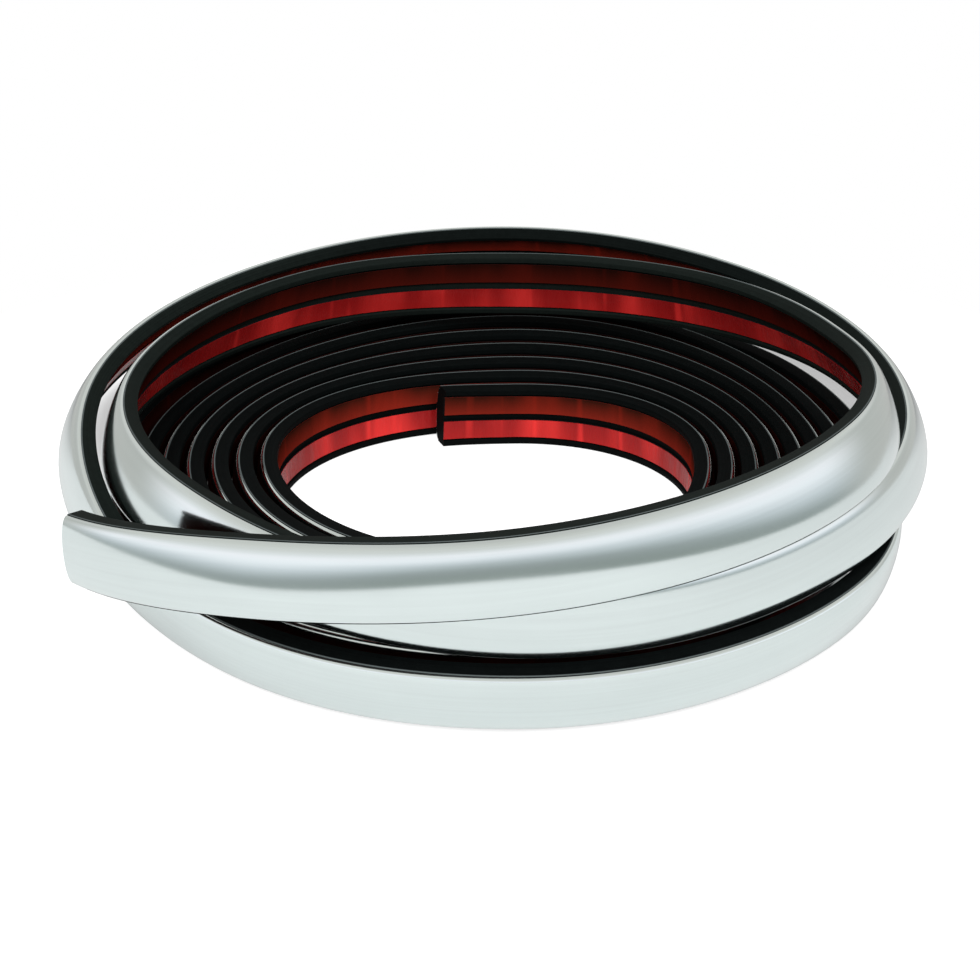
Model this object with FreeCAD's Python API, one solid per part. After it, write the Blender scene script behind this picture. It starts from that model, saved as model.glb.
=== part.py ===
import FreeCAD, Part
import math
import os
from FreeCAD import Vector

# Chrome fender trim: one long flexible strip, lying in the loose coil it is sold in.
# Millimetres, +Z up. The coil lies on the floor, its middle over the origin.

# Strip section, seen from a cut end: u runs out of the coil, v up across the strip
STRIP_WIDTH = 19.05
EDGE_DEPTH = 4.0
DOME_DEPTH = 2.2
FACING_THICKNESS = 0.5
FACING_SET_IN = 0.25
EDGE_MARGIN = 2.45
RECESS_DEPTH = 1.2
TAPE_GAP = 2.55
TAPE_THICKNESS = 0.8
RECESS_ROOM = 0.6
DOME_FACETS = 10

# Coil: travel is counted in degrees, clockwise from above, from the back
START_ANGLE = -27.0
END_ANGLE = 3474.0
HOLE_BACK = 42.6
HOLE_RIGHT = 48.0
HOLE_FRONT = 59.2
HOLE_LEFT = 60.8
TURN_GAP_BACK = 3.4
TURN_GAP_RIGHT = 0.25
TURN_GAP_FRONT = 0.65
TURN_GAP_LEFT = 0.5
BACK_LIFT = 0.32
BACK_LIFT_GROWTH = 0.06
BACK_LEAN = -8.4
INNER_END = 2340.0
SECTION_STEP = 15.0
QUARTER_TURN = 90.0

# The loose outer loops, by hand: travel, back face beyond the last close turn in strip depths,
# lower edge above the floor in strip widths, lean outwards in degrees
OUTER_STATIONS = [
    (2385.0, 0.16, 0.03, -1.0),
    (2430.0, 0.50, 0.11, -1.0),
    (2475.0, 0.57, 0.12, -2.0),
    (2520.0, 0.38, 0.09, -4.0),
    (2565.0, 0.88, 0.04, -6.0),
    (2610.0, 1.28, 0.02, -3.0),
    (2655.0, 1.41, 0.17, 16.0),
    (2700.0, 1.04, 0.16, 20.0),
    (2745.0, 1.23, 0.25, 12.0),
    (2790.0, 2.74, 1.09, -29.0),
    (2835.0, 2.14, 1.52, -43.0),
    (2880.0, 1.30, 1.63, -41.0),
    (2925.0, 1.62, 1.59, -41.0),
    (2970.0, 2.90, 1.30, -27.0),
    (3015.0, 1.68, 1.17, -1.0),
    (3060.0, 1.42, 1.16, 4.0),
    (3105.0, 0.90, 1.32, -13.0),
    (3150.0, 0.35, 1.31, -21.0),
    (3195.0, -2.12, 1.45, -13.0),
    (3240.0, -4.57, 1.52, -6.0),
    (3285.0, -3.24, 1.68, -13.0),
    (3330.0, -0.06, 1.97, -26.0),
    (3375.0, 2.40, 2.30, -17.0),
    (3420.0, 3.43, 2.11, -2.0),
    (3448.0, 3.94, 1.68, -7.0),
    (3474.0, 3.93, 1.01, 0.0),
]


def quarter_blend(travel, back, right, front, left):
    """Value that swings smoothly between the four sides of the coil."""
    along = math.cos(math.radians(travel))
    across = math.sin(math.radians(travel))
    lengthwise = back if along > 0.0 else front
    sideways = right if across > 0.0 else left
    return lengthwise * along ** 2 + sideways * across ** 2


def coil_radius(travel, turns):
    """Radius of the back face after so many close turns."""
    depth = EDGE_DEPTH + DOME_DEPTH
    hole = quarter_blend(travel, HOLE_BACK, HOLE_RIGHT, HOLE_FRONT, HOLE_LEFT)
    gap = quarter_blend(travel, TURN_GAP_BACK, TURN_GAP_RIGHT, TURN_GAP_FRONT, TURN_GAP_LEFT)
    return hole + (depth + gap) * turns


def inner_station(travel):
    """Radius, lower edge and lean of the close turns, which step up and tip in at the back."""
    turns = travel / 360.0
    behind = max(0.0, math.cos(math.radians(travel))) ** 3
    step = BACK_LIFT * round(turns) + BACK_LIFT_GROWTH * round(turns) ** 2
    return coil_radius(travel, turns), step * behind, BACK_LEAN * behind


def outer_station(travel, beyond, above, lean):
    """Radius, lower edge and lean of one station of the loose loops."""
    radius = coil_radius(travel, INNER_END / 360.0) + beyond * (EDGE_DEPTH + DOME_DEPTH)
    return travel, radius, above * STRIP_WIDTH, lean


def coil_stations():
    """All stations that the loose loops pass through, with the last two of the close turns."""
    joining = [(travel,) + inner_station(travel) for travel in (INNER_END - QUARTER_TURN, INNER_END)]
    return joining + [outer_station(*station) for station in OUTER_STATIONS]


def smooth_between(before, start, end, after, travel, value):
    """Smooth value between two stations, its slopes taken from their neighbours."""
    length = end[0] - start[0]
    t = (travel - start[0]) / length
    rise = (end[value] - before[value]) / (end[0] - before[0]) * length
    fall = (after[value] - start[value]) / (after[0] - start[0]) * length
    return ((2 * t ** 3 - 3 * t ** 2 + 1) * start[value] + (t ** 3 - 2 * t ** 2 + t) * rise
            + (3 * t ** 2 - 2 * t ** 3) * end[value] + (t ** 3 - t ** 2) * fall)


def strip_station(travel):
    """Radius, lower edge and lean of the strip at any place along its travel."""
    if travel <= INNER_END:
        return inner_station(travel)
    stations = coil_stations()
    index = 1
    while index < len(stations) - 2 and stations[index + 1][0] < travel:
        index += 1
    after = stations[min(index + 2, len(stations) - 1)]
    around = (stations[index - 1], stations[index], stations[index + 1], after)
    return tuple(smooth_between(*around, travel, value) for value in (1, 2, 3))


def strip_point(travel, u, v):
    """Point of the section at (u, v), at a place along the travel."""
    radius, height, lean = strip_station(travel)
    around = math.radians(travel)
    tip = math.radians(lean)
    out = radius + u * math.cos(tip) + v * math.sin(tip)
    up = height - u * math.sin(tip) + v * math.cos(tip)
    return Vector(out * math.sin(around), out * math.cos(around), up)


def dome_points(inset):
    """Half-oval of the domed front, from its lower edge to its upper edge."""
    middle = STRIP_WIDTH / 2.0
    reach = middle - FACING_SET_IN - inset / 2.0
    points = []
    for facet in range(DOME_FACETS + 1):
        angle = math.pi * (facet / DOME_FACETS - 0.5)
        bulge = max(0.0, math.cos(angle)) ** 0.8
        points.append((EDGE_DEPTH + (DOME_DEPTH - inset) * bulge, middle + reach * math.sin(angle)))
    return points


def body_outline():
    """Black extrusion: flat edges, a shallow recess in the back, a domed front."""
    low = EDGE_MARGIN - RECESS_ROOM
    high = STRIP_WIDTH - low
    back = [(RECESS_DEPTH, low), (0.0, low), (0.0, 0.0), (EDGE_DEPTH, 0.0)]
    top = [(EDGE_DEPTH, STRIP_WIDTH), (0.0, STRIP_WIDTH), (0.0, high), (RECESS_DEPTH, high)]
    return back + dome_points(FACING_THICKNESS) + top


def facing_outline():
    """Bright facing, a thin skin over the domed front."""
    return dome_points(0.0) + list(reversed(dome_points(FACING_THICKNESS)))


def tape_outline(low, high):
    """One foam tape with its liner, stuck to the floor of the recess."""
    face = RECESS_DEPTH - TAPE_THICKNESS
    return [(face, low), (RECESS_DEPTH, low), (RECESS_DEPTH, high), (face, high)]


def heading(corner, travel):
    """Direction in which one corner of the section moves on, one long."""
    nudge = 0.01
    u, v = corner
    return (strip_point(travel + nudge, u, v) - strip_point(travel - nudge, u, v)).normalize()


def edge_along(corner, start, end):
    """One long edge of the strip, through the same corner of evenly spaced sections."""
    u, v = corner
    steps = math.ceil((end - start) / SECTION_STEP)
    points = [strip_point(start + (end - start) * i / steps, u, v) for i in range(steps + 1)]
    curve = Part.BSplineCurve()
    curve.interpolate(Points=points, InitialTangent=heading(corner, start),
                      FinalTangent=heading(corner, end), Scale=False)
    return curve


def side_between(curve, other):
    """Side of the strip between two of its long edges, a true plane where it lies on the floor."""
    if all(abs(pole.z) < 0.000001 for pole in curve.getPoles() + other.getPoles()):
        near = Part.makeLine(curve.StartPoint, other.StartPoint)
        far = Part.makeLine(curve.EndPoint, other.EndPoint)
        return Part.Face(Part.Wire(Part.sortEdges([curve.toShape(), far, other.toShape(), near])[0]))
    return Part.makeRuledSurface(curve.toShape(), other.toShape())


def cut_end(outline, travel):
    """Flat cut face across the strip."""
    points = [strip_point(travel, u, v) for u, v in outline]
    return Part.Face(Part.makePolygon(points + [points[0]]))


def length_limits():
    """Both cut ends, and each place at the sides where a flat front meets a raised back."""
    limits = [START_ANGLE]
    side = QUARTER_TURN
    while side < END_ANGLE:
        limits.append(side)
        side += 2.0 * QUARTER_TURN
    return limits + [END_ANGLE]


def strip_solid(outline):
    """Carry one outline along the whole travel and close both cut ends."""
    faces = [cut_end(outline, START_ANGLE), cut_end(outline, END_ANGLE)]
    limits = length_limits()
    for start, end in zip(limits, limits[1:]):
        curves = [edge_along(corner, start, end) for corner in outline]
        for number, curve in enumerate(curves):
            faces.append(side_between(curve, curves[(number + 1) % len(curves)]))
    shell = Part.makeShell(faces)
    shell.sewShape()
    solid = Part.Solid(shell)
    if solid.Volume < 0:
        solid.reverse()
    return solid


def main():
    """Build every piece, set the coil's middle over the origin and write the files."""
    os.makedirs("parts", exist_ok=True)
    tape_middle = STRIP_WIDTH / 2.0
    outlines = {
        "trim_body": body_outline(),
        "chrome_face": facing_outline(),
        "lower_tape": tape_outline(EDGE_MARGIN, tape_middle - TAPE_GAP / 2.0),
        "upper_tape": tape_outline(tape_middle + TAPE_GAP / 2.0, STRIP_WIDTH - EDGE_MARGIN),
    }
    solids = {name: strip_solid(outline) for name, outline in outlines.items()}
    box = Part.makeCompound(list(solids.values())).optimalBoundingBox(False, False)
    to_origin = Vector(-box.Center.x, -box.Center.y, 0.0)
    for name, solid in solids.items():
        solid.translate(to_origin)
        solid.exportStep("parts/%s.step" % name)
        print(name, solid.ShapeType, solid.isValid(), round(solid.Volume, 1), len(solid.Faces))
    print("moved by", to_origin, "box", box)


main()
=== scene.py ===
import logging
import math
from dataclasses import dataclass, field
from enum import Enum
from functools import cached_property
from typing import Callable, NamedTuple

import bmesh
import bpy
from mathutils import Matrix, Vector, noise


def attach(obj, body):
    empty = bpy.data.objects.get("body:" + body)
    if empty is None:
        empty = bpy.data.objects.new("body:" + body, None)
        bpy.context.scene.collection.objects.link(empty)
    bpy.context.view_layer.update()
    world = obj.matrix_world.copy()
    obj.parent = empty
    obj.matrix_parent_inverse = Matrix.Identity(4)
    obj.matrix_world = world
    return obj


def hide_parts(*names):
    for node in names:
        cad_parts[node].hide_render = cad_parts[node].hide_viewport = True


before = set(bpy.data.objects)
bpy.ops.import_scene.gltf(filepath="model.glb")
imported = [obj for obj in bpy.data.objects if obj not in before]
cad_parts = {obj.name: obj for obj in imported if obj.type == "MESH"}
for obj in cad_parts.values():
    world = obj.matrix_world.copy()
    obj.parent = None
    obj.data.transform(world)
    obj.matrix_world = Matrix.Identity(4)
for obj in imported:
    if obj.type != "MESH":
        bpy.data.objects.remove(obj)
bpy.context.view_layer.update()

LOG = logging.getLogger("fender_trim")
MILLIMETRE = 0.001
FULL_TURN = 360.0
QUARTER_TURN = 90.0
STRIP_MAP = "strip"

Outline = list[tuple[float, float]]
Shift = Callable[[float, float, float], tuple[float, float]]
Colour = tuple[float, float, float, float]
Pair = tuple[float, float]
Sides = tuple[float, float, float, float]


# The strip's section and route, in millimetres


@dataclass(frozen=True)
class StripSection:
    """Sizes of the moulding's section, u out of the coil and v up across it."""

    width: float = 19.05
    edge_depth: float = 4.0
    edge_round: float = 0.35
    edge_flat: float = 0.3
    dome_depth: float = 2.2
    dome_fullness: float = 0.8
    body_facets: int = 10
    facing_thickness: float = 0.5
    facing_set_in: float = 0.25
    facing_ease: float = 0.07
    facing_facets: int = 24
    lining_facets: int = 8
    edge_margin: float = 2.45
    recess_depth: float = 1.2
    recess_room: float = 0.6
    tape_gap: float = 2.55
    tape_thickness: float = 0.8
    liner_thickness: float = 0.12
    liner_overhang: float = 0.12
    liner_strips: int = 6

    @property
    def depth(self) -> float:
        """Depth of the whole strip, from its back face to the top of its dome."""
        return self.edge_depth + self.dome_depth

    def dome(self, inset: float, facets: int) -> Outline:
        """Half-oval of the domed front.

        Args:
            inset: how far inside the bright face, in millimetres.
            facets: number of steps round the dome.

        Returns:
            Points from the lower edge to the upper edge.
        """
        middle = self.width / 2.0
        reach = middle - self.facing_set_in - inset / 2.0
        points = []
        for step in range(facets + 1):
            angle = math.pi * (step / facets - 0.5)
            bulge = max(0.0, math.cos(angle)) ** self.dome_fullness
            points.append((self.edge_depth + (self.dome_depth - inset) * bulge,
                           middle + reach * math.sin(angle)))
        return points

    def body(self) -> Outline:
        """Outline of the black extrusion, its outer corners eased.

        Returns:
            Corners round the section, from the lower edge of the recess.
        """
        low = self.edge_margin - self.recess_room
        high = self.width - low
        ease = self.edge_round
        flat = ease * self.edge_flat
        back = [(self.recess_depth, low), (ease, low), (0.0, low - ease), (0.0, ease),
                (flat, flat), (ease, 0.0), (self.edge_depth, 0.0)]
        top = [(self.edge_depth, self.width), (ease, self.width),
               (flat, self.width - flat), (0.0, self.width - ease),
               (0.0, high + ease), (ease, high), (self.recess_depth, high)]
        return back + self.dome(self.facing_thickness, self.body_facets) + top

    def facing(self) -> Outline:
        """Outline of the bright facing, smooth outside and plain inside."""
        outside = [(u - self.facing_ease, v) for u, v in self.dome(0.0, self.facing_facets)]
        return outside + list(reversed(self.dome(self.facing_thickness, self.lining_facets)))

    def tape(self, low: float, high: float) -> Outline:
        """Outline of one foam tape without its liner."""
        face = self.recess_depth - self.tape_thickness + self.liner_thickness
        return [(face, low), (self.recess_depth, low), (self.recess_depth, high), (face, high)]

    def film(self, low: float, high: float) -> Outline:
        """Outline of one release film, in strips so that it can pucker.

        Args:
            low: lower edge of its tape, in millimetres.
            high: upper edge of its tape, in millimetres.

        Returns:
            Corners round the film, its open face first, from the top down.
        """
        face = self.recess_depth - self.tape_thickness
        back = face + self.liner_thickness
        low, high = low - self.liner_overhang, high + self.liner_overhang
        step = (high - low) / self.liner_strips
        rows = [low + step * row for row in range(self.liner_strips)] + [high]
        return [(face, v) for v in reversed(rows)] + [(back, low), (back, high)]

    def tape_edges(self) -> dict[str, Pair]:
        """Lower and upper edge of each tape, by name."""
        middle = self.width / 2.0
        return {"lower": (self.edge_margin, middle - self.tape_gap / 2.0),
                "upper": (middle + self.tape_gap / 2.0, self.width - self.edge_margin)}


class Station(NamedTuple):
    """One place on the strip's route: travel, radius, lower edge and lean."""

    travel: float
    radius: float
    height: float
    lean: float


# The loose outer loops: travel, back face beyond the last close turn in strip depths,
# lower edge above the floor in strip widths, lean outwards in degrees
OUTER_STATIONS = (
    (2385.0, 0.16, 0.03, -1.0),
    (2430.0, 0.50, 0.11, -1.0),
    (2475.0, 0.57, 0.12, -2.0),
    (2520.0, 0.38, 0.09, -4.0),
    (2565.0, 0.88, 0.04, -6.0),
    (2610.0, 1.28, 0.02, -3.0),
    (2655.0, 1.41, 0.17, 16.0),
    (2700.0, 1.04, 0.16, 20.0),
    (2745.0, 1.23, 0.25, 12.0),
    (2790.0, 2.74, 1.09, -29.0),
    (2835.0, 2.14, 1.52, -43.0),
    (2880.0, 1.30, 1.63, -41.0),
    (2925.0, 1.62, 1.59, -41.0),
    (2970.0, 2.90, 1.30, -27.0),
    (3015.0, 1.68, 1.17, -1.0),
    (3060.0, 1.42, 1.16, 4.0),
    (3105.0, 0.90, 1.32, -13.0),
    (3150.0, 0.35, 1.31, -21.0),
    (3195.0, -2.12, 1.45, -13.0),
    (3240.0, -4.57, 1.52, -6.0),
    (3285.0, -3.24, 1.68, -13.0),
    (3330.0, -0.06, 1.97, -26.0),
    (3375.0, 2.40, 2.30, -17.0),
    (3420.0, 3.43, 2.11, -2.0),
    (3448.0, 3.94, 1.68, -7.0),
    (3474.0, 3.93, 1.01, 0.0),
)


@dataclass(frozen=True)
class CoilRoute:
    """Route of the strip: close turns on the floor, then loose loops over them."""

    section: StripSection = StripSection()
    start: float = -27.0
    end: float = 3474.0
    hole: Sides = (42.6, 48.0, 59.2, 60.8)
    turn_gap: Sides = (3.4, 0.25, 0.65, 0.5)
    back_lift: float = 0.32
    back_lift_growth: float = 0.06
    back_lean: float = -8.4
    inner_end: float = 2340.0
    outer: tuple[tuple[float, float, float, float], ...] = OUTER_STATIONS

    def quarter_blend(self, travel: float, sides: Sides) -> float:
        """Value that swings smoothly between back, right, front and left.

        Args:
            travel: place along the strip, in degrees from the back.
            sides: values at the back, right, front and left.

        Returns:
            The value at that place.
        """
        along = math.cos(math.radians(travel))
        across = math.sin(math.radians(travel))
        lengthwise = sides[0] if along > 0.0 else sides[2]
        sideways = sides[1] if across > 0.0 else sides[3]
        return lengthwise * along ** 2 + sideways * across ** 2

    def radius(self, travel: float, turns: float) -> float:
        """Radius of the back face after so many close turns."""
        gap = self.quarter_blend(travel, self.turn_gap)
        return self.quarter_blend(travel, self.hole) + (self.section.depth + gap) * turns

    def inner(self, travel: float) -> Station:
        """Station on the close turns, which step up and tip in at the back.

        Args:
            travel: place along the strip, in degrees.

        Returns:
            Radius, height and lean there.
        """
        turns = travel / FULL_TURN
        behind = max(0.0, math.cos(math.radians(travel))) ** 3
        step = self.back_lift * round(turns) + self.back_lift_growth * round(turns) ** 2
        return Station(travel, self.radius(travel, turns), step * behind, self.back_lean * behind)

    def loose(self, travel: float, beyond: float, above: float, lean: float) -> Station:
        """Station of the loose loops from one row of the list."""
        radius = self.radius(travel, self.inner_end / FULL_TURN) + beyond * self.section.depth
        return Station(travel, radius, above * self.section.width, lean)

    @cached_property
    def passing(self) -> list[Station]:
        """All stations of the loose loops, with the last two of the close turns."""
        joining = [self.inner(self.inner_end - QUARTER_TURN), self.inner(self.inner_end)]
        return joining + [self.loose(*row) for row in self.outer]

    def at(self, travel: float) -> Station:
        """Station at any place along the travel.

        Args:
            travel: place along the strip, in degrees.

        Returns:
            Radius, height and lean there, smooth through the stations.
        """
        if travel <= self.inner_end:
            return self.inner(travel)
        stations = self.passing
        index = 1
        while index < len(stations) - 2 and stations[index + 1].travel < travel:
            index += 1
        before, start, end = stations[index - 1], stations[index], stations[index + 1]
        after = stations[min(index + 2, len(stations) - 1)]
        length = end.travel - start.travel
        t = (travel - start.travel) / length
        values = []
        for a, b, c, d in zip(before[1:], start[1:], end[1:], after[1:]):
            rise = (c - a) / (end.travel - before.travel) * length
            fall = (d - b) / (after.travel - start.travel) * length
            values.append((2 * t ** 3 - 3 * t ** 2 + 1) * b + (t ** 3 - 2 * t ** 2 + t) * rise
                          + (3 * t ** 2 - 2 * t ** 3) * c + (t ** 3 - t ** 2) * fall)
        return Station(travel, *values)

    def point(self, station: Station, u: float, v: float) -> Vector:
        """Point of the section at (u, v) at a station, in metres.

        Args:
            station: place along the strip.
            u: depth from the back face, in millimetres.
            v: height across the strip, in millimetres.

        Returns:
            The point, before the coil's middle is set over the origin.
        """
        around = math.radians(station.travel)
        tip = math.radians(station.lean)
        out = station.radius + u * math.cos(tip) + v * math.sin(tip)
        up = station.height - u * math.sin(tip) + v * math.cos(tip)
        return Vector((out * math.sin(around), out * math.cos(around), up)) * MILLIMETRE


# Making the pieces


def new_object(name: str, mesh: bmesh.types.BMesh) -> bpy.types.Object:
    """Put a finished bmesh into the scene, and free it.

    Args:
        name: name of the new object and of its mesh.
        mesh: the shape.

    Returns:
        The new object, at the origin.
    """
    data = bpy.data.meshes.new(name)
    mesh.to_mesh(data)
    mesh.free()
    made = bpy.data.objects.new(name, data)
    bpy.context.scene.collection.objects.link(made)
    return made


@dataclass
class StripMaker:
    """Sweeps outlines along the route and gives each strip its lengthwise pattern map."""

    route: CoilRoute = field(default_factory=CoilRoute)
    section_step: float = 1.5
    measured_at: float = 9.0
    weld: float = 1e-7
    crease_angle: float = 32.0

    def stations(self) -> list[Station]:
        """Evenly spaced stations.

        Returns:
            All stations from the inner cut end to the outer cut end.
        """
        count = round((self.route.end - self.route.start) / self.section_step)
        step = (self.route.end - self.route.start) / count
        return [self.route.at(self.route.start + step * index) for index in range(count + 1)]

    def lengths(self, stations: list[Station]) -> list[float]:
        """Distance along the strip's back face.

        Args:
            stations: places along the strip.

        Returns:
            The distance of each station from the first, in metres.
        """
        run = [0.0]
        places = [self.route.point(station, 0.0, self.measured_at) for station in stations]
        for here, there in zip(places, places[1:]):
            run.append(run[-1] + (there - here).length)
        return run

    def girth(self, outline: Outline) -> list[float]:
        """Distance round an outline.

        Args:
            outline: corners of the outline, in millimetres.

        Returns:
            The distance of each corner from the first, in metres, and last the whole way round.
        """
        run = [0.0]
        for here, there in zip(outline, outline[1:] + outline[:1]):
            run.append(run[-1] + math.dist(here, there) * MILLIMETRE)
        return run

    def sweep(self, name: str, outline: Outline, shift: Shift | None = None) -> bpy.types.Object:
        """Carry a closed outline along the whole route.

        Args:
            name: name of the new piece.
            outline: corners of the outline, (u, v) in millimetres.
            shift: gives the change in (u, v) at a length along, a u and a v.

        Returns:
            The new piece, closed at both cut ends.
        """
        stations = self.stations()
        mesh = bmesh.new()
        bmesh.ops.create_grid(mesh, x_segments=len(stations) - 1, y_segments=len(outline), size=1.0)
        self.wrap(mesh, stations, outline, shift)
        bmesh.ops.remove_doubles(mesh, verts=mesh.verts, dist=self.weld)
        self.close_ends(mesh)
        bmesh.ops.recalc_face_normals(mesh, faces=mesh.faces)
        self.crease(mesh)
        return new_object(name, mesh)

    def wrap(self, mesh: bmesh.types.BMesh, stations: list[Station], outline: Outline,
             shift: Shift | None) -> None:
        """Lay a square grid along the route and round the outline, with its pattern map.

        Args:
            mesh: the grid, its first side for the length and its second for the girth.
            stations: places along the strip, one for each line of the grid.
            outline: corners of the outline, one for each row of faces.
            shift: gives the change in (u, v) at a length along, a u and a v.
        """
        pattern = mesh.loops.layers.uv.new(STRIP_MAP)
        lengths = self.lengths(stations)
        girth = self.girth(outline)
        along = len(stations) - 1
        around = len(outline)
        place: dict[bmesh.types.BMVert, Pair] = {}
        for vert in mesh.verts:
            index = round((vert.co.x + 1.0) / 2.0 * along)
            corner = round((vert.co.y + 1.0) / 2.0 * around)
            u, v = outline[corner % around]
            if shift is not None:
                du, dv = shift(lengths[index], u, v)
                u, v = u + du, v + dv
            vert.co = self.route.point(stations[index], u, v)
            place[vert] = (lengths[index], girth[corner])
        for face in mesh.faces:
            face.smooth = True
            for loop in face.loops:
                loop[pattern].uv = place[loop.vert]

    def close_ends(self, mesh: bmesh.types.BMesh) -> None:
        """Fill both cut ends with flat faces.

        Args:
            mesh: the strip, open at both ends.
        """
        pattern = mesh.loops.layers.uv[STRIP_MAP]
        rims = [edge for edge in mesh.edges if edge.is_boundary]
        ends = bmesh.ops.holes_fill(mesh, edges=rims, sides=0)["faces"]
        for face in ends:
            face.smooth = False
            for loop in face.loops:
                loop[pattern].uv = (0.0, 0.0)
        bmesh.ops.triangulate(mesh, faces=ends)

    def crease(self, mesh: bmesh.types.BMesh) -> None:
        """Keep the section's sharp corners sharp."""
        limit = math.radians(self.crease_angle)
        for edge in mesh.edges:
            edge.smooth = edge.is_manifold and edge.calc_face_angle(math.pi) < limit


def centre_over_origin(pieces: list[bpy.types.Object]) -> Vector:
    """Set the middle of all the pieces' box over the origin, as the solids have it.

    Args:
        pieces: every piece of the strip.

    Returns:
        How far they all moved, in metres.
    """
    corners = [vert.co for piece in pieces for vert in piece.data.vertices]
    middle_x = (min(c.x for c in corners) + max(c.x for c in corners)) / 2.0
    middle_y = (min(c.y for c in corners) + max(c.y for c in corners)) / 2.0
    moved = Vector((-middle_x, -middle_y, 0.0))
    for piece in pieces:
        move_in_mesh(piece, moved)
    return moved


def move_in_mesh(piece: bpy.types.Object, moved: Vector) -> None:
    """Shift a piece within its own mesh, its object left at the origin.

    Args:
        piece: the piece.
        moved: how far, in metres.
    """
    mesh = bmesh.new()
    mesh.from_mesh(piece.data)
    bmesh.ops.translate(mesh, verts=mesh.verts, vec=moved)
    mesh.to_mesh(piece.data)
    mesh.free()


# Finishes


class Socket:
    """A node socket that takes part in Python sums."""

    def __init__(self, shader: "Shader", socket: bpy.types.NodeSocket) -> None:
        """Keep the socket with the shader that its maths nodes go into."""
        self.shader = shader
        self.socket = socket

    def _with(self, operation: str, other: "Socket | float", swap: bool = False) -> "Socket":
        """Add a Math node for this socket and another value."""
        values = (other, self) if swap else (self, other)
        return self.shader.node("ShaderNodeMath", {"operation": operation},
                                {0: values[0], 1: values[1]})["Value"]

    def __add__(self, other: "Socket | float") -> "Socket":
        """Sum."""
        return self._with("ADD", other)

    __radd__ = __add__

    def __sub__(self, other: "Socket | float") -> "Socket":
        """Difference."""
        return self._with("SUBTRACT", other)

    def __rsub__(self, other: float) -> "Socket":
        """Difference, the other way round."""
        return self._with("SUBTRACT", other, swap=True)

    def __mul__(self, other: "Socket | float") -> "Socket":
        """Product."""
        return self._with("MULTIPLY", other)

    __rmul__ = __mul__

    def power(self, exponent: float) -> "Socket":
        """Power."""
        return self._with("POWER", exponent)


class Outputs:
    """Outputs of a new node, by name or number."""

    def __init__(self, shader: "Shader", node: bpy.types.Node) -> None:
        """Keep the node."""
        self.shader = shader
        self.node = node

    def __getitem__(self, key: str | int) -> Socket:
        """The output of that name or number."""
        return Socket(self.shader, self.node.outputs[key])


class Shader:
    """A node tree under construction, of a material or the world."""

    def __init__(self, tree: bpy.types.NodeTree) -> None:
        """Start from an empty tree."""
        self.tree = tree
        tree.nodes.clear()

    def node(self, kind: str, settings: dict[str, object] | None = None,
             inputs: dict[str | int, object] | None = None) -> Outputs:
        """Add any node.

        Args:
            kind: the node's type.
            settings: attributes set first; "stops" fills a colour ramp.
            inputs: values or sockets for its inputs.

        Returns:
            The node's outputs.
        """
        made = self.tree.nodes.new(kind)
        for key, value in (settings or {}).items():
            if key == "stops":
                self._fill_ramp(made.color_ramp, value)
            else:
                setattr(made, key, value)
        for key, value in (inputs or {}).items():
            if isinstance(value, Socket):
                self.tree.links.new(value.socket, made.inputs[key])
            else:
                made.inputs[key].default_value = value
        return Outputs(self, made)

    @staticmethod
    def _fill_ramp(ramp: bpy.types.ColorRamp, stops: list[tuple[float, Colour]]) -> None:
        """Give a ramp its stops.

        Args:
            ramp: a new node's ramp.
            stops: position and colour of each stop, in order.
        """
        while len(ramp.elements) > 1:
            ramp.elements.remove(ramp.elements[0])
        ramp.elements[0].position = stops[0][0]
        ramp.elements[0].color = stops[0][1]
        for position, colour in stops[1:]:
            ramp.elements.new(position).color = colour

    def mix(self, factor: Socket | float, first: object, second: object) -> Socket:
        """Mix of two colours."""
        return self.node("ShaderNodeMix", {"data_type": "RGBA"},
                         {"Factor": factor, 6: first, 7: second})[2]

    def split(self, vector: Socket) -> Outputs:
        """The X, Y and Z of a vector."""
        return self.node("ShaderNodeSeparateXYZ", None, {0: vector})

    def smooth(self, value: Socket, low: float, high: float) -> Socket:
        """Smooth step of a value, nought below one limit and one above the other."""
        return self.node("ShaderNodeMapRange", {"interpolation_type": "SMOOTHSTEP"},
                         {"Value": value, "From Min": low, "From Max": high})["Result"]

    def strip_place(self) -> Socket:
        """The strip's own map: metres along it as X, metres round its outline as Y."""
        return self.node("ShaderNodeUVMap", {"uv_map": STRIP_MAP})["UV"]

    def strip_noise(self, scale: Pair, detail: float, roughness: float = 0.5) -> Socket:
        """Noise that is stretched by a scale along the strip and one round it."""
        where = self.node("ShaderNodeMapping", None,
                          {"Vector": self.strip_place(), "Scale": (*scale, 1.0)})["Vector"]
        return self.node("ShaderNodeTexNoise", None,
                         {"Vector": where, "Scale": 1.0, "Detail": detail,
                          "Roughness": roughness})[0]

    def bump(self, height: Socket, strength: float, distance: float) -> Socket:
        """Normal of a surface with small heights on it."""
        return self.node("ShaderNodeBump", None,
                         {"Strength": strength, "Distance": distance, "Height": height})["Normal"]


def surface(material: bpy.types.Material, shader: Shader, settings: dict[str, object]) -> None:
    """Close a material with one glossy or matt surface.

    Args:
        material: the material being made.
        shader: its node tree.
        settings: values or sockets of the Principled shader.
    """
    skin = shader.node("ShaderNodeBsdfPrincipled", None, settings)["BSDF"]
    shader.node("ShaderNodeOutputMaterial", None, {"Surface": skin})
    LOG.info("finish %s", material.name)


def new_material(name: str) -> tuple[bpy.types.Material, Shader]:
    """Empty material with its shader.

    Args:
        name: the finish's name.

    Returns:
        The material and the shader that fills it.
    """
    material = bpy.data.materials.new(name)
    material.use_nodes = True
    return material, Shader(material.node_tree)


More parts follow.
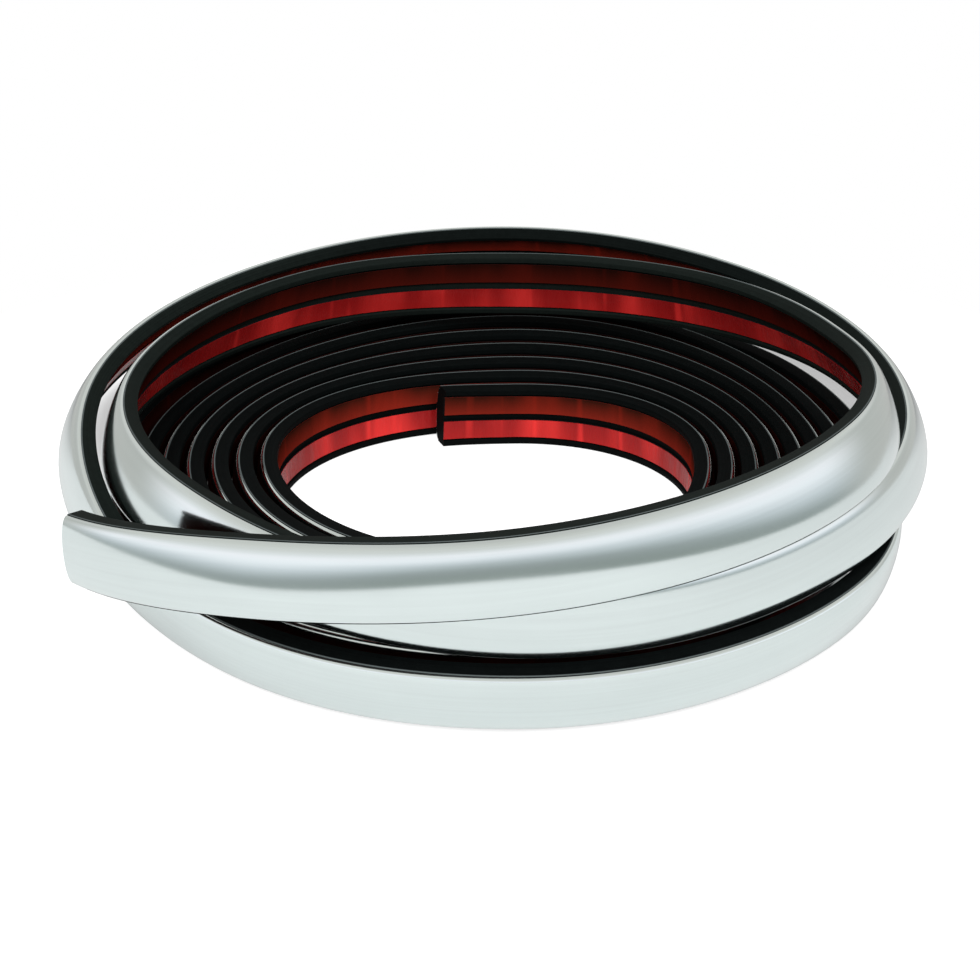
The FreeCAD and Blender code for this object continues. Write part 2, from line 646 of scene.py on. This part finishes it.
@dataclass(frozen=True)
class BrightFilm:
    """Mirror-bright film drawn over the dome, with faint drawing lines and slow waves."""

    pale: Colour = (0.80, 0.885, 0.875, 1.0)
    grey: Colour = (0.70, 0.77, 0.765, 1.0)
    greying: float = 1.6
    streak_scale: Pair = (9.0, 900.0)
    streak_height: float = 0.012
    patch_scale: Pair = (16.0, 60.0)
    wave_scale: Pair = (30.0, 18.0)
    wave_strength: float = 0.35
    wave_depth: float = 0.0004
    roughness: float = 0.07
    patch_roughness: float = 0.16
    streak_roughness: float = 0.05

    def make(self) -> bpy.types.Material:
        """Build the material.

        Returns:
            The bright film.
        """
        material, shader = new_material("bright_film")
        streaks = shader.strip_noise(self.streak_scale, detail=4.0, roughness=0.6)
        patches = shader.strip_noise(self.patch_scale, detail=2.0)
        waves = shader.strip_noise(self.wave_scale, detail=1.0)
        colour = shader.mix(streaks * patches * self.greying, self.pale, self.grey)
        rough = (patches.power(2.0) * self.patch_roughness + streaks * self.streak_roughness
                 + self.roughness)
        height = waves + streaks * self.streak_height
        bump = shader.bump(height, self.wave_strength, self.wave_depth)
        surface(material, shader, {"Base Color": colour, "Metallic": 1.0,
                                   "Roughness": rough, "Normal": bump})
        return material


@dataclass(frozen=True)
class BlackExtrusion:
    """Satin black flexible plastic with fine lines left by the die."""

    rim_corner: float
    dark: Colour = (0.0012, 0.0016, 0.0016, 1.0)
    light: Colour = (0.004, 0.0055, 0.0055, 1.0)
    lightening: float = 1.7
    line_scale: Pair = (6.0, 2600.0)
    dust_scale: Pair = (420.0, 420.0)
    scuff_scale: Pair = (22.0, 160.0)
    # painted light with a little dust: the lighter colour of the open stretches, and where along the
    # strip it begins, thins and returns
    dusty_lit_colour: Colour = (0.012, 0.017, 0.0145, 1.0)
    lit_dust_begins: Pair = (3.85, 3.95)
    lit_dust_thins: Pair = (4.07, 4.13)
    lit_dust_returns: Pair = (4.24, 4.34)
    lit_dust_thinning: float = 0.7
    lit_dust_in_lines: float = 0.5
    lit_dust_in_specks: float = 0.4
    line_height: float = 0.6
    speck_height: float = 0.4
    relief_strength: float = 0.25
    relief_depth: float = 0.0001
    # painted reflection: grey of the bright facing's edge where it wraps round the rim
    wrapped_edge_sheen: Colour = (0.085, 0.10, 0.10, 1.0)
    wrap_width: float = 0.00028
    wrap_fade: float = 1.6
    rim_fade: float = 0.0001
    roughness: float = 0.42
    scuff_roughness: float = 0.22
    dust_roughness: float = 0.08
    specular: float = 0.02

    def lit_and_dusty(self, shader: Shader, along: Socket) -> Socket:
        """Where the loose loops lie open on top: painted light with a little dust, lighter there as
        if lit from above, while the close turns keep the darker colour.

        Args:
            shader: the material's node tree.
            along: distance along the strip, in metres.

        Returns:
            One on the open stretches, less between them, nought elsewhere.
        """
        return (shader.smooth(along, *self.lit_dust_begins)
                - shader.smooth(along, *self.lit_dust_thins) * self.lit_dust_thinning
                + shader.smooth(along, *self.lit_dust_returns) * self.lit_dust_thinning)

    def rim(self, shader: Shader, round_outline: Socket) -> Socket:
        """Thin line on the rim's outer corner, where the bright facing wraps round it, painted as a
        grey reflection of the facing's edge.

        Args:
            shader: the material's node tree.
            round_outline: distance round the section, in metres.

        Returns:
            One on the line, nought elsewhere.
        """
        begins = shader.smooth(round_outline, self.rim_corner - self.rim_fade, self.rim_corner)
        ends = shader.smooth(round_outline, self.rim_corner + self.wrap_width,
                             self.rim_corner + self.wrap_width * self.wrap_fade)
        return begins - ends

    def make(self) -> bpy.types.Material:
        """Build the material.

        Returns:
            The black plastic.
        """
        material, shader = new_material("black_extrusion")
        place = shader.split(shader.strip_place())
        lines = shader.strip_noise(self.line_scale, detail=3.0)
        dust = shader.strip_noise(self.dust_scale, detail=4.0, roughness=0.7)
        scuffs = shader.strip_noise(self.scuff_scale, detail=3.0)
        dust_and_light = self.lit_and_dusty(shader, place["X"]) * (lines * self.lit_dust_in_lines
                                                      + dust * self.lit_dust_in_specks)
        colour = shader.mix(lines * dust * self.lightening, self.dark, self.light)
        # painted light with a little dust: the open stretches of the loose loops are lighter, the
        # close turns stay darker
        colour = shader.mix(dust_and_light, colour, self.dusty_lit_colour)
        # painted reflection: a thin grey line for the bright facing's edge on the rim
        colour = shader.mix(self.rim(shader, place["Y"]), colour, self.wrapped_edge_sheen)
        rough = scuffs * self.scuff_roughness + dust * self.dust_roughness + self.roughness
        height = lines * self.line_height + dust * self.speck_height
        bump = shader.bump(height, self.relief_strength, self.relief_depth)
        surface(material, shader, {"Base Color": colour, "Roughness": rough, "Normal": bump,
                                   "Specular IOR Level": self.specular})
        return material


@dataclass(frozen=True)
class ReleaseFilm:
    """Glossy red release film, puckered across by the bend."""

    name: str
    # painted shade: colours at the film's upper and lower edge, darker at the upper edge
    upper_edge: Colour
    lower_edge: Colour
    # colour of the painted highlights on the film
    bright: Colour
    gloss: float
    coat: float
    outer_shade: float
    highlight_amount: float
    tape_width: float = 0.006
    pucker_scale: Pair = (150.0, 40.0)
    pucker_depth: float = 0.0008
    pucker_strength: float = 0.8
    crease_scale: Pair = (620.0, 90.0)
    crease_height: float = 0.12
    crease_roughness: float = 0.14
    broad_highlight_scale: Pair = (55.0, 12.0)
    broad_highlight_limits: Pair = (0.44, 0.70)
    broad_highlight_share: float = 0.8
    glint_scale: Pair = (210.0, 14.0)
    glint_limits: Pair = (0.56, 0.74)
    glint_share: float = 0.7
    shadow: Colour = (0.004, 0.0015, 0.0012, 1.0)
    shadow_depth: float = 0.88
    turns_begin: Pair = (0.35, 0.40)
    turns_end: Pair = (3.97, 4.03)
    outer_begins: Pair = (4.42, 4.56)
    last_begins: Pair = (4.94, 5.02)
    last_shade: float = 1.05
    roughness: float = 0.2
    coat_roughness: float = 0.06

    def shaded(self, shader: Shader, along: Socket) -> Socket:
        """Where the film lies in the dark: between the close turns, and inside the outer loop.

        Args:
            shader: the material's node tree.
            along: distance along the strip, in metres.

        Returns:
            How dark each place is.
        """
        return (shader.smooth(along, *self.turns_begin) - shader.smooth(along, *self.turns_end)
                + shader.smooth(along, *self.outer_begins) * self.outer_shade
                + shader.smooth(along, *self.last_begins) * (self.last_shade - self.outer_shade))

    def painted_highlights(self, shader: Shader) -> Socket:
        """Painted highlights: broad patches and narrow glints where the puckers would catch the
        light.

        Args:
            shader: the material's node tree.

        Returns:
            How bright each place is.
        """
        broad_highlights = shader.strip_noise(self.broad_highlight_scale, detail=2.0)
        glints = shader.strip_noise(self.glint_scale, detail=1.0)
        return (shader.smooth(broad_highlights, *self.broad_highlight_limits) * self.broad_highlight_share
                + shader.smooth(glints, *self.glint_limits) * self.glint_share) * self.highlight_amount

    def make(self) -> bpy.types.Material:
        """Build the material.

        Returns:
            The red film of one tape.
        """
        material, shader = new_material(self.name)
        place = shader.split(shader.strip_place())
        puckers = shader.strip_noise(self.pucker_scale, detail=2.0, roughness=0.55)
        creases = shader.strip_noise(self.crease_scale, detail=2.0)
        # painted shade: each film goes darker towards its upper edge, as if in the rim's shade
        colour = shader.mix(place["Y"] * (1.0 / self.tape_width), self.upper_edge, self.lower_edge)
        # painted highlights: broad patches and narrow glints of brighter red
        colour = shader.mix(self.painted_highlights(shader), colour, self.bright)
        colour = shader.mix(self.shaded(shader, place["X"]) * self.shadow_depth, colour, self.shadow)
        rough = creases * self.crease_roughness + self.roughness
        height = puckers + creases * self.crease_height
        bump = shader.bump(height, self.pucker_strength, self.pucker_depth)
        surface(material, shader, {"Base Color": colour, "Roughness": rough, "Normal": bump,
                                   "Specular IOR Level": self.gloss, "Coat Weight": self.coat,
                                   "Coat Roughness": self.coat_roughness})
        return material


LOWER_FILM = ReleaseFilm(
    name="lower_release_film",
    upper_edge=(0.30, 0.008, 0.009, 1.0),
    lower_edge=(0.40, 0.012, 0.012, 1.0),
    bright=(0.92, 0.040, 0.036, 1.0),
    gloss=0.15,
    coat=0.06,
    outer_shade=0.4,
    highlight_amount=0.9,
)
# painted shade: the upper film is a darker copy of the lower one, with fainter painted highlights,
# for the rim's shade on the upper tape
UPPER_FILM = ReleaseFilm(
    name="upper_release_film",
    upper_edge=(0.024, 0.007, 0.004, 1.0),
    lower_edge=(0.19, 0.016, 0.009, 1.0),
    bright=(0.34, 0.020, 0.010, 1.0),
    gloss=0.0,
    coat=0.0,
    outer_shade=0.85,
    highlight_amount=0.4,
)


@dataclass(frozen=True)
class FoamCore:
    """Dark closed-cell foam of the tapes, seen on their thin edges."""

    dark: Colour = (0.003, 0.003, 0.0035, 1.0)
    light: Colour = (0.014, 0.013, 0.014, 1.0)
    cells_per_metre: float = 2600.0
    cell_strength: float = 0.6
    cell_depth: float = 0.0001
    roughness: float = 0.85
    specular: float = 0.02

    def make(self) -> bpy.types.Material:
        """Build the material.

        Returns:
            The foam.
        """
        material, shader = new_material("foam_core")
        scale = (self.cells_per_metre, self.cells_per_metre, 1.0)
        where = shader.node("ShaderNodeMapping", None,
                            {"Vector": shader.strip_place(), "Scale": scale})["Vector"]
        cells = shader.node("ShaderNodeTexVoronoi", None, {"Vector": where})["Distance"]
        colour = shader.mix(cells, self.dark, self.light)
        bump = shader.bump(cells, self.cell_strength, self.cell_depth)
        surface(material, shader, {"Base Color": colour, "Roughness": self.roughness,
                                   "Normal": bump, "Specular IOR Level": self.specular})
        return material


class Slot(Enum):
    """Names of the part's finish slots."""

    BLACK = "black_plastic"
    BRIGHT = "chrome"
    LINER = "red_liner"


def dress(piece: bpy.types.Object, material: bpy.types.Material, node: str) -> bpy.types.Object:
    """Give a piece its finish, hang it on the root body and hide the solid that it stands for.

    Args:
        piece: the piece.
        material: its finish.
        node: the solid that it replaces.

    Returns:
        The same piece.
    """
    piece.data.materials.append(material)
    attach(piece, "root")
    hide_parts(node)
    return piece


# The strip's own pieces


@dataclass
class Moulding:
    """The black extrusion with its bright facing."""

    maker: StripMaker = field(default_factory=StripMaker)

    def extrusion(self) -> bpy.types.Object:
        """Black flexible body, recessed behind for the tapes.

        Returns:
            The dressed body.
        """
        section = self.maker.route.section
        outline = section.body()
        piece = self.maker.sweep("extruded_body", outline)
        corner = outline.index((section.edge_depth, section.width))
        finish = BlackExtrusion(rim_corner=self.maker.girth(outline)[corner])
        return dress(piece, finish.make(), "trim_body")

    def facing(self) -> bpy.types.Object:
        """Bright film over the domed front."""
        piece = self.maker.sweep("bright_facing", self.maker.route.section.facing())
        return dress(piece, BrightFilm().make(), "chrome_face")

    def build(self) -> list[bpy.types.Object]:
        """Both pieces."""
        return [self.extrusion(), self.facing()]


@dataclass
class TapePair:
    """The two foam tapes in the recess, each with its release film still on."""

    maker: StripMaker = field(default_factory=StripMaker)
    pucker: float = 0.1
    usual_lift: float = 0.35
    short_waves: Pair = (210.0, 0.09)
    short_lift: float = 0.8
    long_waves: Pair = (60.0, 0.05)
    long_lift: float = 0.6
    long_seed: float = 7.0
    next_seed: float = 3.7

    def puckered(self, seed: float) -> Shift:
        """Small waves of the film away from the foam, where the bend leaves it too long.

        Args:
            seed: shifts the pattern from one film to the other.

        Returns:
            The change in (u, v) at a length along the strip, a u and a v.
        """
        def shift(length: float, u: float, v: float) -> Pair:
            """Lift of the film at one place.

            Args:
                length: distance along the strip, in metres.
                u: depth of the film's point, in millimetres.
                v: height of the film's point, in millimetres.

            Returns:
                The change in (u, v), in millimetres.
            """
            along, across = self.short_waves
            wave = noise.noise(Vector((length * along, v * across + seed, seed)))
            along, across = self.long_waves
            long_wave = noise.noise(Vector((length * along, v * across, seed + self.long_seed)))
            lift = max(0.0, self.usual_lift + wave * self.short_lift + long_wave * self.long_lift)
            return -self.pucker * lift, 0.0

        return shift

    def build(self) -> list[bpy.types.Object]:
        """Make both tapes.

        Returns:
            Foam and film of the lower tape, then of the upper.
        """
        section = self.maker.route.section
        foam_finish = FoamCore().make()
        films = {"lower": LOWER_FILM.make(), "upper": UPPER_FILM.make()}
        pieces = []
        for index, (side, (low, high)) in enumerate(section.tape_edges().items()):
            foam = self.maker.sweep(f"{side}_foam", section.tape(low, high))
            pieces.append(dress(foam, foam_finish, f"{side}_tape"))
            film = self.maker.sweep(f"{side}_film", section.film(low, high),
                                    self.puckered(index * self.next_seed))
            pieces.append(dress(film, films[side], f"{side}_tape"))
        return pieces


# Studio


def grey(level: float) -> Colour:
    """Grey of one level."""
    return (level, level, level, 1.0)


@dataclass(frozen=True)
class SoftLamp:
    """One soft square lamp, aimed at the coil and hidden from its bright film."""

    name: str
    place: tuple[float, float, float]
    size: float
    power: float

    def build(self) -> None:
        """Hang the lamp."""
        data = bpy.data.lights.new(self.name, "AREA")
        data.shape = "SQUARE"
        data.size = self.size
        data.energy = self.power
        lamp = bpy.data.objects.new(self.name, data)
        lamp.location = self.place
        lamp.rotation_euler = (-Vector(self.place)).to_track_quat("-Z", "Y").to_euler()
        lamp.visible_glossy = False
        bpy.context.scene.collection.objects.link(lamp)


@dataclass(frozen=True)
class PaleFloor:
    """Plain pale floor, white in the picture, that keeps the coil's soft shadow."""

    radius: float = 0.235
    sides: int = 96
    drop: float = 0.0002
    tones: tuple[Colour, Colour] = (grey(0.46), grey(0.5))
    mirrored_tone: Colour = grey(0.03)
    grain_scale: float = 40.0
    grain_detail: float = 3.0
    glow: float = 0.80
    sheen: float = 0.29
    back_fade: Pair = (0.04, 0.16)
    back_dulling: float = 0.45
    back_dimming: float = 2.2
    side_fade: Pair = (0.05, 0.16)
    side_dulling: float = 0.12
    glow_fading: float = 0.85
    shade_middle: float = 0.072
    shade_reach: Pair = (0.134, 0.100)
    shade_limits: Pair = (0.80, 0.98)
    hole_middle: float = 0.018
    hole_limits: Pair = (0.058, 0.068)

    def build(self) -> None:
        """Lay the floor just under the coil."""
        mesh = bmesh.new()
        bmesh.ops.create_circle(mesh, cap_ends=True, segments=self.sides, radius=self.radius)
        plate = new_object("floor", mesh)
        plate.location.z = -self.drop
        plate.data.materials.append(self.finish())

    def finish(self) -> bpy.types.Material:
        """Matt floor with a glow for the camera and a sheen for metal, duller to the back.

        Returns:
            The material.
        """
        material, shader = new_material("pale_floor")
        rays = shader.node("ShaderNodeLightPath")
        place = shader.node("ShaderNodeTexCoord")["Object"]
        spot = shader.split(place)
        mirrored = rays["Is Glossy Ray"] + rays["Is Transmission Ray"]
        near = self.near_the_coil(shader, spot["X"], spot["Y"])
        behind = shader.smooth(spot["Y"], *self.back_fade) * self.back_dulling
        aside = shader.smooth(spot["X"], *self.side_fade) * self.side_dulling
        # partly painted shade: the camera's glow fades near the coil, leaving real shadow and a soft
        # grey ellipse
        glowing = (rays["Is Camera Ray"] * self.glow * (1.0 - near * self.glow_fading)
                   + mirrored * self.sheen * (1.0 - behind * self.back_dimming))
        grain = shader.node("ShaderNodeTexNoise", None,
                            {"Vector": place, "Scale": self.grain_scale,
                             "Detail": self.grain_detail})[0]
        colour = shader.mix(grain, *self.tones)
        colour = shader.mix(mirrored * (behind + aside), colour, self.mirrored_tone)
        matt = shader.node("ShaderNodeBsdfDiffuse", None, {"Color": colour})["BSDF"]
        glow = shader.node("ShaderNodeEmission", None,
                           {"Color": glowing, "Strength": 1.0})["Emission"]
        both = shader.node("ShaderNodeAddShader", None, {0: matt, 1: glow})[0]
        shader.node("ShaderNodeOutputMaterial", None, {"Surface": both})
        return material

    def near_the_coil(self, shader: Shader, x: Socket, y: Socket) -> Socket:
        """Where the floor's own glow fades out, so that the loops' real shadow shows on it; the fade
        also paints a soft grey shade in an ellipse under and just behind the loops.

        Args:
            shader: the floor's node tree.
            x: place on the floor to the right, in metres.
            y: place on the floor to the back, in metres.

        Returns:
            One under and just behind the loops, nought in the hole and beyond the coil.
        """
        across, along = self.shade_reach
        back = y - self.shade_middle
        spread = x * x * (1.0 / across ** 2) + back * back * (1.0 / along ** 2)
        middle = y - self.hole_middle
        inner, outer = self.hole_limits
        around = shader.smooth(x * x + middle * middle, inner ** 2, outer ** 2)
        return (1.0 - shader.smooth(spread, *self.shade_limits)) * around


# What metal sees round it: rise from straight down to straight up, then red, green, blue
SURROUNDING_BANDS = (
    (-1.0, 0.295, 0.325, 0.312),
    (-0.34, 0.295, 0.325, 0.312),
    (-0.26, 0.36, 0.39, 0.39),
    (-0.17, 0.69, 0.72, 0.76),
    (-0.08, 1.03, 1.02, 1.07),
    (0.02, 1.09, 1.04, 1.09),
    (0.10, 0.92, 0.90, 0.92),
    (0.22, 0.80, 0.78, 0.77),
    (0.50, 0.72, 0.70, 0.67),
    (1.0, 0.64, 0.62, 0.60),
)


@dataclass(frozen=True)
class Surroundings:
    """White to the camera; to metal, a dusky skirting, a bright ring and a pale ceiling."""

    bands: tuple[tuple[float, float, float, float], ...] = SURROUNDING_BANDS
    back_wall: Colour = (0.56, 0.55, 0.53, 1.0)
    back_fade: Pair = (0.1, 0.5)
    ceiling_fade: Pair = (0.15, 0.5)
    ambient: Colour = grey(0.34)
    backdrop: Colour = grey(1.0)

    def build(self) -> None:
        """Fill the scene's world."""
        world = bpy.context.scene.world or bpy.data.worlds.new("surroundings")
        bpy.context.scene.world = world
        world.use_nodes = True
        shader = Shader(world.node_tree)
        rays = shader.node("ShaderNodeLightPath")
        heading = shader.split(shader.node("ShaderNodeTexCoord")["Generated"])
        stops = [((rise + 1.0) / 2.0, (*colour, 1.0)) for rise, *colour in self.bands]
        rings = shader.node("ShaderNodeValToRGB", {"stops": stops},
                            {"Fac": heading["Z"] * 0.5 + 0.5})["Color"]
        below_ceiling = 1.0 - shader.smooth(heading["Z"], *self.ceiling_fade)
        dull = shader.smooth(heading["Y"], *self.back_fade) * below_ceiling
        rings = shader.mix(dull, rings, self.back_wall)
        mirrored = rays["Is Glossy Ray"] + rays["Is Transmission Ray"]
        seen = shader.mix(mirrored, self.ambient, rings)
        shown = shader.mix(rays["Is Camera Ray"], seen, self.backdrop)
        glow = shader.node("ShaderNodeBackground", None, {"Color": shown, "Strength": 1.0})[0]
        shader.node("ShaderNodeOutputWorld", None, {"Surface": glow})


@dataclass(frozen=True)
class PhotoCamera:
    """Camera where the photograph was taken, looking down on the coil from the front."""

    elevation: float = 26.58
    distance: float = 536.94
    pixels_per_millimetre: float = 3.53
    coil_middle: Pair = (513.9, 508.08)
    frame_pixels: float = 980.0
    sensor_width: float = 36.0
    clip_start: float = 0.01

    def build(self, to_origin: Vector) -> None:
        """Set up the camera.

        Args:
            to_origin: how far the coil was moved to stand over the origin.
        """
        tilt = math.radians(self.elevation)
        focal = self.pixels_per_millimetre * self.distance
        right = Vector((1.0, 0.0, 0.0))
        ahead = Vector((0.0, math.cos(tilt), -math.sin(tilt)))
        above = Vector((0.0, math.sin(tilt), math.cos(tilt)))
        half = self.frame_pixels / 2.0
        across = (self.coil_middle[0] - half) / focal * self.distance
        upward = (half - self.coil_middle[1]) / focal * self.distance
        place = -(right * across + above * upward + ahead * self.distance) * MILLIMETRE
        data = bpy.data.cameras.new("camera")
        data.sensor_width = self.sensor_width
        data.lens = self.sensor_width * focal / self.frame_pixels
        data.clip_start = self.clip_start
        camera = bpy.data.objects.new("camera", data)
        camera.location = place + to_origin
        camera.rotation_euler = (math.pi / 2.0 - tilt, 0.0, 0.0)
        bpy.context.scene.collection.objects.link(camera)
        bpy.context.scene.camera = camera


@dataclass
class Studio:
    """Pale floor, white surroundings, soft lamps and the camera."""

    floor: PaleFloor = PaleFloor()
    surroundings: Surroundings = Surroundings()
    camera: PhotoCamera = PhotoCamera()
    lamps: tuple[SoftLamp, ...] = (
        SoftLamp("key_lamp", (-0.35, -0.95, 0.85), 0.45, 12.0),
        SoftLamp("fill_lamp", (0.5, -0.9, 0.9), 0.45, 8.5),
        SoftLamp("top_lamp", (0.0, 0.1, 1.4), 0.8, 3.0),
    )

    def build(self, to_origin: Vector) -> None:
        """Set up everything round the coil.

        Args:
            to_origin: how far the coil was moved to stand over the origin.
        """
        self.floor.build()
        self.surroundings.build()
        for lamp in self.lamps:
            lamp.build()
        self.camera.build(to_origin)
        bpy.context.scene.view_settings.view_transform = "Standard"


def main() -> None:
    """Build the coil and its studio, and report each piece."""
    logging.basicConfig(level=logging.INFO, format="%(name)s: %(message)s")
    maker = StripMaker()
    pieces = Moulding(maker).build() + TapePair(maker).build()
    moved = centre_over_origin(pieces)
    for piece in pieces:
        LOG.info("%s: %d faces", piece.name, len(piece.data.polygons))
    Studio().build(moved)


if __name__ == "__main__":
    main()
